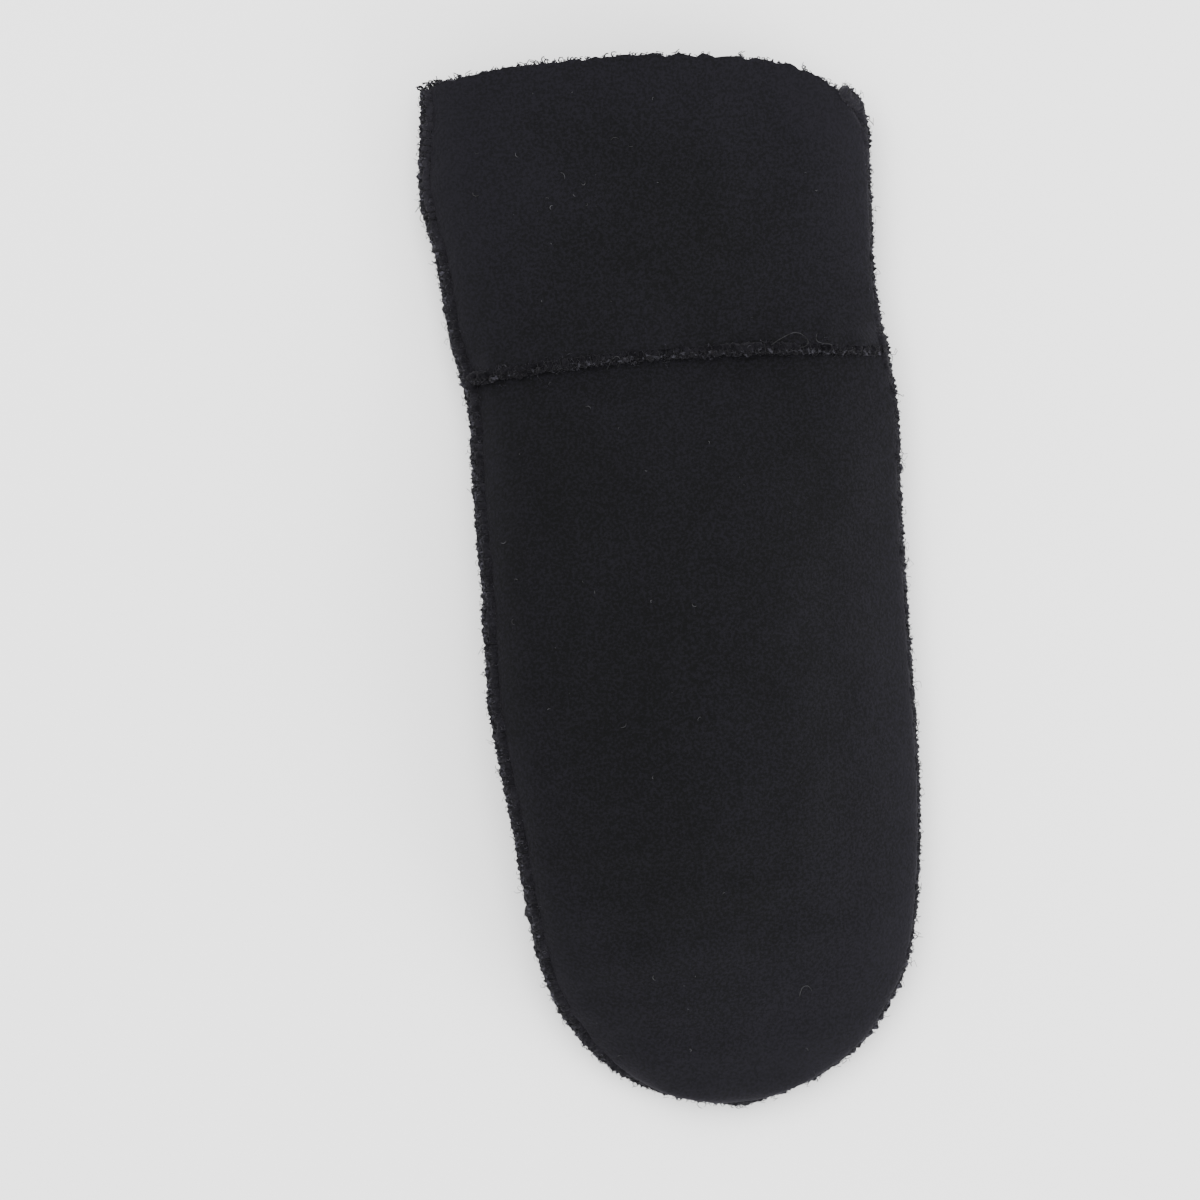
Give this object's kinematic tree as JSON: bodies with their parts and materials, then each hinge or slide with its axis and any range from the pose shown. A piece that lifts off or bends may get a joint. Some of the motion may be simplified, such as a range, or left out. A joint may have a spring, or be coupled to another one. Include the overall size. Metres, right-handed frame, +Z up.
{
  "type": "shearling leather mitten",
  "caption": "Left-hand shearling mitten lying on its palm: suede shell, wool lining, raised raw-edged seams, thumb folded under, open cuff.",
  "frame": {"origin": "centre of the bounding box at its base, on the surface that the mitten lies on", "axes": "+Y along the mitten to the mouth of the cuff, fingertips at -Y; +X to the little finger's side, thumb at -X; +Z up, out of the back of the hand"},
  "size_m": [0.1288, 0.296, 0.0415],
  "materials": {
    "suede": "black suede with a soft velvety nap, matte",
    "wool": "black curled sheep's wool, matte",
    "seam_edge": "raw cut edges of suede with short wool curls, matte"
  },
  "bodies": {
    "root": {"back_panel": "suede", "palm_panel": "suede", "thumb_outer": "suede", "thumb_inner": "suede", "cuff_back": "suede", "cuff_palm": "suede", "wool_lining": "wool", "side_seam": "seam_edge", "cuff_seam_back": "seam_edge", "cuff_seam_palm": "seam_edge", "thumb_seam": "seam_edge", "heel_seam": "seam_edge", "crotch_seam": "seam_edge"}
  },
  "joints": []
}
